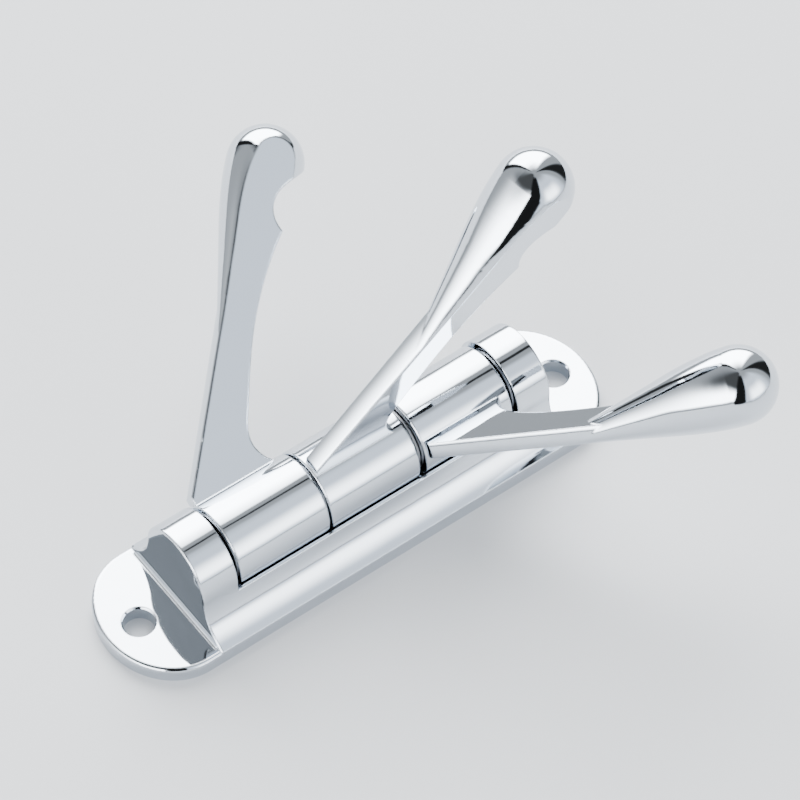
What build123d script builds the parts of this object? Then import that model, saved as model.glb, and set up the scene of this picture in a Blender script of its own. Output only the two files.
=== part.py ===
from build123d import *
from math import cos, radians, sin
import os

# Swivel wall hook: a flat base that screws to the wall and three arms that swing on one pin.
# It lies on its back: the wall face is z = 0, the pin runs along X and the arms reach up in +Z.
# Lengths in millimetres, angles in degrees.

# Base plate
plate_width = 30.0
plate_thickness = 3.4
straight_half = 43.75
ear_reach = 13.0
plate_top_round = 0.7
screw_spacing = 99.0
screw_hole_radius = 3.1
screw_chamfer = 0.35

# Housing between the two screw holes
pin_height = 13.05
cheek_radius = 9.2
housing_half = 41.0
cheek_inner = 33.15
lip_height = 11.0
channel_radius = 9.05
foot_round = 0.7
cheek_edge_round = 0.45

# Pin, plug and washers
pin_radius = 2.5
pin_low = -38.3
pin_high = 39.2
plug_radius = 3.6
plug_low = 39.4
washer_radius = 7.0
washer_bore = 2.7

# Arms: barrel knuckle on the pin, web with one flat side, teardrop bulb with a notch under it
barrel_radius = 8.75
barrel_length = 20.8
arm_bore_radius = 2.55
crease_round = 0.6
edge_round = 0.4
lean = 40.8
full_reach = 69.6
stem_offset = 8.4
stem_radius = 6.0
ball_radius = 7.65
drop_start = (-12.4, 36.0, -0.8)
drop_end = (-8.6, 69.6, 3.8)

# Each arm: middle of its barrel, swing from straight out of the wall, reach to the ball's centre
arm_places = {
    "lower_arm": (-21.65, -58.5, 69.6),
    "middle_arm": (-0.35, 6.1, 69.6),
    "upper_arm": (21.85, 60.4, 62.2),
}

os.makedirs("parts", exist_ok=True)


# Base: plate, flared housing with arched ends, channel, screw holes and pin bores
half_width = plate_width / 2
with BuildPart() as plate:
    with BuildSketch():
        Rectangle(2 * straight_half, plate_width)
        with Locations((-straight_half, 0), (straight_half, 0)):
            Ellipse(ear_reach, half_width)
    extrude(amount=plate_thickness)
    fillet(plate.faces().sort_by(Axis.Z)[-1].edges(), plate_top_round)

with BuildPart() as base:
    with BuildSketch(Plane.YZ.offset(-housing_half)):
        with BuildLine():
            arch = ThreePointArc((-cheek_radius, pin_height), (0, pin_height + cheek_radius), (cheek_radius, pin_height))
            left = TangentArc(arch @ 0, (-half_width, plate_thickness + 0.1), tangent=(0, -1))
            right = TangentArc(arch @ 1, (half_width, plate_thickness + 0.1), tangent=(0, -1))
            Polyline(right @ 1, (half_width, 0), (-half_width, 0), left @ 1)
        make_face()
    extrude(amount=2 * housing_half)
    end_edges = base.faces().filter_by(Axis.X).edges()
    fillet(end_edges.filter_by(lambda e: e.center().Z > 0.1), cheek_edge_round)
    add(plate.part)
    for side in (-1, 1):
        high = (side * housing_half, plate_thickness + foot_round)
        out = (side * (housing_half + foot_round), plate_thickness)
        with BuildSketch(Plane.XZ):
            with BuildLine():
                RadiusArc(high, out, -side * foot_round)
                Polyline(
                    out,
                    (out[0], plate_thickness - 0.3),
                    (high[0] - side * 0.3, plate_thickness - 0.3),
                    (high[0] - side * 0.3, high[1]),
                    high,
                )
            make_face()
        extrude(amount=half_width - 1.6, both=True)

    with BuildSketch(Plane.YZ.offset(-cheek_inner)):
        with Locations((0, pin_height)):
            Circle(channel_radius)
        with Locations((0, lip_height)):
            Rectangle(plate_width + 2, 20, align=(Align.CENTER, Align.MIN))
    extrude(amount=2 * cheek_inner, mode=Mode.SUBTRACT)

    with BuildSketch(Plane.XY.offset(plate_thickness)):
        with Locations((-screw_spacing / 2, 0), (screw_spacing / 2, 0)):
            Circle(screw_hole_radius)
    extrude(amount=-plate_thickness, mode=Mode.SUBTRACT)
    rims = base.edges().filter_by(GeomType.CIRCLE)
    rims = rims.filter_by(lambda e: abs(e.radius - screw_hole_radius) < 0.01)
    chamfer(rims.filter_by(lambda e: e.center().Z > 1), screw_chamfer)

    with BuildSketch(Plane.YZ.offset(pin_low)):
        with Locations((0, pin_height)):
            Circle(pin_radius)
    extrude(amount=housing_half - pin_low, mode=Mode.SUBTRACT)
    with BuildSketch(Plane.YZ.offset(plug_low)):
        with Locations((0, pin_height)):
            Circle(plug_radius)
    extrude(amount=housing_half - plug_low, mode=Mode.SUBTRACT)
base.part.label = "base"
export_step(base.part, "parts/base.step")


# Pivot pin through both cheeks and all three barrels
with BuildPart() as pivot_pin:
    with BuildSketch(Plane.YZ.offset(pin_low)):
        with Locations((0, pin_height)):
            Circle(pin_radius)
    extrude(amount=pin_high - pin_low)
    chamfer(pivot_pin.edges().filter_by(GeomType.CIRCLE), 0.4)
pivot_pin.part.label = "pivot_pin"
export_step(pivot_pin.part, "parts/pivot_pin.step")


# Plug that closes the pin's bore in the upper end face
with BuildPart() as end_plug:
    with BuildSketch(Plane.YZ.offset(plug_low)):
        with Locations((0, pin_height)):
            Circle(plug_radius)
    extrude(amount=housing_half - plug_low - 0.05)
    outer = end_plug.edges().filter_by(GeomType.CIRCLE).sort_by(Axis.X)[-1]
    fillet(outer, 0.3)
end_plug.part.label = "end_plug"
export_step(end_plug.part, "parts/end_plug.step")


# Flat friction washers, each between two faces it almost touches
flat_washers = {
    "lower_washer": (-32.85, 0.5),
    "inner_washer": (-11.15, 0.3),
    "upper_washer": (32.45, 0.5),
}
for name, (start, thickness) in flat_washers.items():
    with BuildPart() as washer:
        with BuildSketch(Plane.YZ.offset(start)):
            with Locations((0, pin_height)):
                Circle(washer_radius)
                Circle(washer_bore, mode=Mode.SUBTRACT)
        extrude(amount=thickness)
    washer.part.label = name
    export_step(washer.part, f"parts/{name}.step")


# Sprung washer: a shallow cone in the widest gap
with BuildPart() as spring_washer:
    with BuildSketch(Plane.XZ):
        with BuildLine():
            Polyline(
                (10.2, pin_height + washer_bore),
                (10.65, pin_height + washer_bore),
                (11.3, pin_height + washer_radius),
                (10.85, pin_height + washer_radius),
                close=True,
            )
        make_face()
    revolve(axis=Axis((0, 0, pin_height), (1, 0, 0)))
spring_washer.part.label = "spring_washer"
export_step(spring_washer.part, "parts/spring_washer.step")


# The arm stands on the X axis. Across runs away from its outer edge, along runs up its web
# and through runs across the web's thickness, from its flat side to its bulging side.
c = cos(radians(lean))
d = sin(radians(lean))
across = Vector(c, 0, -d)
along = Vector(d, 0, c)
through = Vector(0, 1, 0)


def on_web(x, r):
    """Web coordinates of a point x along the pin and r out from it."""
    return (x * c - r * d, x * d + r * c)


def edges_where(arm, chosen):
    """Edges whose centre, in web coordinates, and length pass the test."""
    def passes(edge):
        spot = edge.center()
        return chosen(spot.dot(across), spot.dot(along), spot.dot(through), edge.length)

    return [edge for edge in arm.edges() if passes(edge)]


def make_arm(reach):
    """One arm whose ball's centre is reach along the web from the pin's axis."""
    web_plane = Plane(origin=(0, 0, 0), x_dir=across, z_dir=-through)
    side_plane = Plane(origin=(0, 0, 0), x_dir=along, z_dir=-across)
    stretch = reach / full_reach

    def up(x, y):
        return (x, y * stretch)

    def in_space(point):
        return across * point[0] + along * point[1] * stretch + through * point[2]

    # Teardrop about its own straight axis, from a thin neck to the ball tip
    top = in_space(drop_end)
    drop_axis = (top - in_space(drop_start)).normalized()
    with BuildPart() as drop:
        with BuildSketch(Plane.XZ):
            with BuildLine():
                swell = Spline(
                    (0.4, -43.5 * stretch),
                    (2.05, -34.2 * stretch),
                    (3.65, -26.1 * stretch),
                    (5.3, -17.9 * stretch),
                    (6.7, -10.8 * stretch),
                    (7.45, -5.0 * stretch),
                    (ball_radius, 0),
                    tangents=[(0.2, 1), (0, 1)],
                )
                tip = RadiusArc(swell @ 1, (0, ball_radius), -ball_radius)
                Polyline(tip @ 1, (0, -43.5 * stretch), swell @ 0)
            make_face()
        revolve(axis=Axis.Z)

    with BuildPart() as barrel:
        with BuildSketch(Plane.YZ.offset(-barrel_length / 2)):
            Circle(barrel_radius)
        extrude(amount=barrel_length)
        fillet(barrel.edges().filter_by(GeomType.CIRCLE), edge_round)

    with BuildPart() as arm:
        # Stem: a gently rounded outer edge, and the web behind it
        with BuildSketch(Plane(origin=across * -stem_offset - along * 4, z_dir=along)):
            Circle(stem_radius)
        extrude(amount=62 * stretch)
        with BuildSketch(web_plane):
            with Locations((-stem_offset, -4)):
                Rectangle(stem_offset + 8, 62 * stretch + 4, align=(Align.MIN, Align.MIN))
        extrude(amount=5, both=True)
        with BuildSketch(side_plane):
            Polygon((-9, -1.75), (90, -3.1), (90, 1.7), (-9, 1.7), align=None)
        extrude(amount=40, both=True, mode=Mode.INTERSECT)
        add(Plane(origin=top, z_dir=drop_axis).location * drop.part)

        # The flat side cuts the drop too
        with BuildSketch(side_plane):
            Polygon((-9, -1.75), (90, -3.1), (90, -14), (-9, -14), align=None)
        extrude(amount=40, both=True, mode=Mode.SUBTRACT)

        # Side outline: root on the barrel, inner edge, notch under the tip
        with BuildSketch(web_plane):
            with BuildLine():
                root = Spline(
                    on_web(9.9, 7.6),
                    on_web(6.9, 10.2),
                    on_web(6.1, 13.2),
                    up(-5.9, 20.3),
                    up(-7.2, 34.0),
                    up(-6.3, 48.4),
                    up(-4.7, 55.6),
                )
                notch = Spline(
                    root @ 1,
                    up(-6.6, 57.7),
                    up(-7.3, 60.0),
                    up(-6.9, 62.3),
                    up(-5.1, 65.1),
                    up(-0.6, 70.4),
                )
                Polyline(
                    notch @ 1,
                    (4, 86),
                    (-30, 86),
                    (-30, 20),
                    on_web(-9.9, 11.0),
                    on_web(-9.9, 3.0),
                    on_web(9.9, 3.0),
                    root @ 0,
                )
            make_face()
        extrude(amount=16, both=True, mode=Mode.INTERSECT)

        # Barrel knuckle and its bore
        add(barrel.part)
        with BuildSketch(Plane.YZ.offset(-barrel_length / 2)):
            Circle(arm_bore_radius)
        extrude(amount=barrel_length, mode=Mode.SUBTRACT)

    # Eased edges: the flat side's outer crease, the web's inner edges and the notch
    eased = [
        (crease_round, lambda n, s, y, size: y < -1.6 and n < -8 and s > 5),
        (edge_round, lambda n, s, y, size: y < -2 and -7.5 < n < -6.8 and size > 30),
        (edge_round, lambda n, s, y, size: 1.5 < y < 1.9 and -7.2 < n < -6.6 and size > 30),
        (edge_round, lambda n, s, y, size: y > 8 and -8 < n < -6 and size > 12),
    ]
    solid = arm.part
    for radius, chosen in eased:
        solid = solid.fillet(radius, edges_where(solid, chosen))
    return solid


for name, (middle, swing, reach) in arm_places.items():
    arm = Pos(middle, 0, pin_height) * Rot(swing, 0, 0) * make_arm(reach)
    arm.label = name
    export_step(arm, f"parts/{name}.step")
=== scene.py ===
import bpy
import math
from mathutils import Matrix, Vector

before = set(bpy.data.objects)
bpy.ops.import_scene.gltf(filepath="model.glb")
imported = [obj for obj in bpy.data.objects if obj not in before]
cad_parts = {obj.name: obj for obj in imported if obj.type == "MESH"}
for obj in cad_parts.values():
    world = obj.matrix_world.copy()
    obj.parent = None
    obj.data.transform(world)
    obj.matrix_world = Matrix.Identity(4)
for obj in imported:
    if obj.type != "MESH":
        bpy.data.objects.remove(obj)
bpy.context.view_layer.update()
print("frame loaded")


def newMaterial(name):
    material = bpy.data.materials.new(name)
    material.use_nodes = True
    nodes = material.node_tree.nodes
    return material, nodes, material.node_tree.links, nodes["Principled BSDF"]


# Polished metal: a faint swell lets long reflections waver, and a bevel in the shading eases the edges
def makePlating(name, look):
    material, nodes, links, shader = newMaterial(name)
    shader.inputs["Metallic"].default_value = 1.0
    place = nodes.new("ShaderNodeTexCoord")
    swell = nodes.new("ShaderNodeTexNoise")
    swell.inputs["Scale"].default_value = look["swellScale"]
    swell.inputs["Detail"].default_value = look["swellDetail"]
    links.new(place.outputs["Object"], swell.inputs["Vector"])

    tint = nodes.new("ShaderNodeMix")
    tint.data_type = "RGBA"
    factor, colourA, colourB, colourOut = 0, 6, 7, 2  # socket places of the colour mix
    tint.inputs[colourA].default_value = look["tintLow"]
    tint.inputs[colourB].default_value = look["tintHigh"]
    links.new(swell.outputs["Fac"], tint.inputs[factor])
    links.new(tint.outputs[colourOut], shader.inputs["Base Color"])

    haze = nodes.new("ShaderNodeMapRange")
    haze.inputs["From Min"].default_value = look["hazeFrom"][0]
    haze.inputs["From Max"].default_value = look["hazeFrom"][1]
    haze.inputs["To Min"].default_value = look["roughLow"]
    haze.inputs["To Max"].default_value = look["roughHigh"]
    links.new(swell.outputs["Fac"], haze.inputs["Value"])
    links.new(haze.outputs["Result"], shader.inputs["Roughness"])

    ease = nodes.new("ShaderNodeBevel")
    ease.samples = look["edgeSamples"]
    ease.inputs["Radius"].default_value = look["edgeRadius"]
    lump = nodes.new("ShaderNodeBump")
    lump.inputs["Strength"].default_value = look["bumpStrength"]
    lump.inputs["Distance"].default_value = look["bumpDepth"]
    links.new(swell.outputs["Fac"], lump.inputs["Height"])
    links.new(ease.outputs["Normal"], lump.inputs["Normal"])
    links.new(lump.outputs["Normal"], shader.inputs["Normal"])
    return material


platingLook = {
    "tintLow": (0.57, 0.61, 0.66, 1.0),
    "tintHigh": (0.60, 0.64, 0.69, 1.0),
    "swellScale": 60.0,
    "swellDetail": 2.0,
    "hazeFrom": (0.35, 0.65),  # share of the swell over which the roughness runs
    "roughLow": 0.03,
    "roughHigh": 0.05,
    "bumpStrength": 0.3,
    "bumpDepth": 0.0004,
    "edgeRadius": 0.0004,
    "edgeSamples": 4,
}

steelLook = {
    "tintLow": (0.30, 0.30, 0.31, 1.0),
    "tintHigh": (0.40, 0.40, 0.41, 1.0),
    "swellScale": 400.0,
    "swellDetail": 2.0,
    "hazeFrom": (0.35, 0.65),
    "roughLow": 0.3,
    "roughHigh": 0.42,
    "bumpStrength": 0.2,
    "bumpDepth": 0.0001,
    "edgeRadius": 0.0002,
    "edgeSamples": 4,
}

chrome = makePlating("brightChrome", platingLook)
steel = makePlating("dullSteel", steelLook)

finishOf = {
    "base": chrome,
    "lower_arm": chrome,
    "middle_arm": chrome,
    "upper_arm": chrome,
    "end_plug": chrome,
    "pivot_pin": steel,
    "lower_washer": steel,
    "inner_washer": steel,
    "upper_washer": steel,
    "spring_washer": steel,
}
for name, finish in finishOf.items():
    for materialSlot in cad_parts[name].material_slots:
        materialSlot.material = finish
print("finishes set")


# Floor: a pale matt sheet that runs out past every reflection
floorLook = {
    "size": 5.6,
    "colour": (0.565, 0.572, 0.588, 1.0),
    "rough": 0.9,
    "shine": 0.1,
}


def makeFloor(look):
    half = look["size"] / 2
    corners = [(-half, -half, 0), (half, -half, 0), (half, half, 0), (-half, half, 0)]
    mesh = bpy.data.meshes.new("floor")
    mesh.from_pydata(corners, [], [(0, 1, 2, 3)])
    floor = bpy.data.objects.new("floor", mesh)
    bpy.context.collection.objects.link(floor)
    material, nodes, links, shader = newMaterial("paleFloor")
    shader.inputs["Base Color"].default_value = look["colour"]
    shader.inputs["Roughness"].default_value = look["rough"]
    shader.inputs["Specular IOR Level"].default_value = look["shine"]
    mesh.materials.append(material)


makeFloor(floorLook)
print("floor laid")


# Studio: glowing and dark cards around the hook, each a patch of a sphere. Azimuth is counted from
# +X towards +Y, in degrees, and topAzimuth is where the sides end at the top. Soft is the share of the
# card over which its rim fades out: first side, last side, bottom, top. Slope slows the first side's fade.
cardDefaults = {
    "distance": 2.4,
    "colour": (0.97, 0.99, 1.0, 1.0),
    "slope": 1.0,
    "steps": 24,  # faces along each side of a card
}


def between(ends, share):
    return ends[0] + (ends[1] - ends[0]) * share


def cardMesh(name, look):
    steps = look["steps"]
    bottomSides, topSides = look["azimuth"], look["topAzimuth"]
    corners, faces, spots = [], [], []
    for row in range(steps + 1):
        for column in range(steps + 1):
            u, v = column / steps, row / steps
            firstSide = between((bottomSides[0], topSides[0]), v)
            lastSide = between((bottomSides[1], topSides[1]), v)
            azimuth = math.radians(between((firstSide, lastSide), u))
            elevation = math.radians(between(look["elevation"], v))
            flat = math.cos(elevation) * look["distance"]
            high = math.sin(elevation) * look["distance"]
            corners.append((math.cos(azimuth) * flat, math.sin(azimuth) * flat, high))
            spots.append((u, v))
    for row in range(steps):
        for column in range(steps):
            first = row * (steps + 1) + column
            above = first + steps + 1
            faces.append((first, above, above + 1, first + 1))  # faces look inwards
    mesh = bpy.data.meshes.new(name)
    mesh.from_pydata(corners, [], faces)
    layer = mesh.uv_layers.new(name="card")
    for loop in mesh.loops:
        layer.data[loop.index].uv = spots[loop.vertex_index]
    return mesh


def fade(nodes, links, source, start, end):
    blur = nodes.new("ShaderNodeMapRange")
    blur.interpolation_type = "SMOOTHSTEP"
    blur.inputs["From Min"].default_value = start
    blur.inputs["From Max"].default_value = end
    links.new(source, blur.inputs["Value"])
    return blur.outputs["Result"]


def multiply(nodes, links, first, second):
    product = nodes.new("ShaderNodeMath")
    product.operation = "MULTIPLY"
    links.new(first, product.inputs[0])
    links.new(second, product.inputs[1])
    return product.outputs[0]


def raiseTo(nodes, links, source, power):
    raised = nodes.new("ShaderNodeMath")
    raised.operation = "POWER"
    links.new(source, raised.inputs[0])
    raised.inputs[1].default_value = power
    return raised.outputs[0]


def cardMask(nodes, links, look):
    spot = nodes.new("ShaderNodeUVMap")
    spot.uv_map = "card"
    split = nodes.new("ShaderNodeSeparateXYZ")
    links.new(spot.outputs["UV"], split.inputs["Vector"])
    acrossCard, upCard = split.outputs["X"], split.outputs["Y"]
    softFirst, softLast, softLow, softHigh = look["soft"]
    mask = raiseTo(nodes, links, fade(nodes, links, acrossCard, 0.0, softFirst), look["slope"])
    mask = multiply(nodes, links, mask, fade(nodes, links, acrossCard, 1.0, 1.0 - softLast))
    mask = multiply(nodes, links, mask, fade(nodes, links, upCard, 0.0, softLow))
    return multiply(nodes, links, mask, fade(nodes, links, upCard, 1.0, 1.0 - softHigh))


def addCard(name, ownLook):
    look = {**cardDefaults, "topAzimuth": ownLook["azimuth"], **ownLook}
    mesh = cardMesh(name, look)
    card = bpy.data.objects.new(name, mesh)
    bpy.context.collection.objects.link(card)
    material = bpy.data.materials.new(name)
    material.use_nodes = True
    nodes, links = material.node_tree.nodes, material.node_tree.links
    nodes.clear()
    glow = nodes.new("ShaderNodeEmission")
    glow.inputs["Color"].default_value = look["colour"]
    glow.inputs["Strength"].default_value = look["glow"]
    clear = nodes.new("ShaderNodeBsdfTransparent")
    blend = nodes.new("ShaderNodeMixShader")
    output = nodes.new("ShaderNodeOutputMaterial")
    links.new(cardMask(nodes, links, look), blend.inputs[0])
    links.new(clear.outputs[0], blend.inputs[1])
    links.new(glow.outputs[0], blend.inputs[2])
    links.new(blend.outputs[0], output.inputs["Surface"])
    mesh.materials.append(material)


cards = {
    "keyPanel": {
        "azimuth": (24, 101),
        "elevation": (9, 82),
        "glow": 18.0,
        "soft": (0.12, 0.1, 0.08, 0.5),
    },
    "leftPanel": {
        "azimuth": (104, 232),
        "elevation": (3, 48),
        "glow": 14.0,
        "soft": (0.78, 0.01, 0.15, 0.6),
        "slope": 2.3,
    },
    "frontPanel": {
        "azimuth": (-109, -24),
        "elevation": (1, 80),
        "glow": 1.8,
        "soft": (0.01, 0.2, 0.02, 0.3),
        "colour": (0.88, 0.96, 1.06, 1.0),
        "distance": 2.5,
    },
    "frontLamp": {
        "azimuth": (-102, -38),
        "elevation": (1, 48),
        "glow": 7.0,
        "soft": (0.3, 0.4, 0.3, 0.6),
    },
    "rightSeam": {
        "azimuth": (-28, 14),
        "topAzimuth": (-8, 3),
        "elevation": (-2, 86),
        "glow": 0.03,
        "soft": (0.25, 0.2, 0.03, 0.05),
        "distance": 2.3,
    },
    "frontSeam": {
        "azimuth": (-138, -108),
        "topAzimuth": (-142, -98),
        "elevation": (-2, 84),
        "glow": 0.02,
        "soft": (0.1, 0.1, 0.03, 0.1),
        "distance": 2.3,
    },
    "leftSeam": {
        "azimuth": (94, 110),
        "elevation": (-2, 84),
        "glow": 0.02,
        "soft": (0.35, 0.35, 0.05, 0.1),
        "distance": 2.3,
    },
    "highShade": {
        "azimuth": (106, 232),
        "elevation": (28, 88),
        "glow": 0.12,
        "soft": (0.45, 0.01, 0.38, 0.02),
        "distance": 2.35,
    },
}
for name, cardLook in cards.items():
    addCard(name, cardLook)


# Room: an even, slightly blue fill wherever no card stands
roomLook = {"colour": (0.93, 0.97, 1.0, 1.0), "strength": 0.7}
world = bpy.data.worlds.new("studioRoom")
bpy.context.scene.world = world
world.use_nodes = True
background = world.node_tree.nodes["Background"]
background.inputs["Color"].default_value = roomLook["colour"]
background.inputs["Strength"].default_value = roomLook["strength"]
print("studio lit")


# Camera: a long lens from above, at the photograph's angle. Azimuth is the turn from facing +Y, in
# degrees, and aim is how far the lens is moved across and up, in metres.
cameraLook = {
    "azimuth": -38.79,
    "elevation": 53.60,
    "roll": 2.24,
    "aim": (0.00958, 0.02026),
    "distance": 0.8564,
    "lens": 200.1,
    "sensorWidth": 36.0,
    "clipStart": 0.05,
}


def addCamera(look):
    data = bpy.data.cameras.new("viewCamera")
    data.sensor_width = look["sensorWidth"]
    data.lens = look["lens"]
    data.clip_start = look["clipStart"]
    camera = bpy.data.objects.new("viewCamera", data)
    bpy.context.collection.objects.link(camera)
    turn = Matrix.Rotation(math.radians(look["azimuth"]), 4, "Z")
    tilt = Matrix.Rotation(math.radians(90 - look["elevation"]), 4, "X")
    level = Matrix.Rotation(math.radians(look["roll"]), 4, "Z")
    facing = turn @ tilt @ level
    across, up = look["aim"]
    place = facing @ Vector((across, up, look["distance"]))
    camera.matrix_world = Matrix.Translation(place) @ facing
    bpy.context.scene.camera = camera


addCamera(cameraLook)
print("camera set")
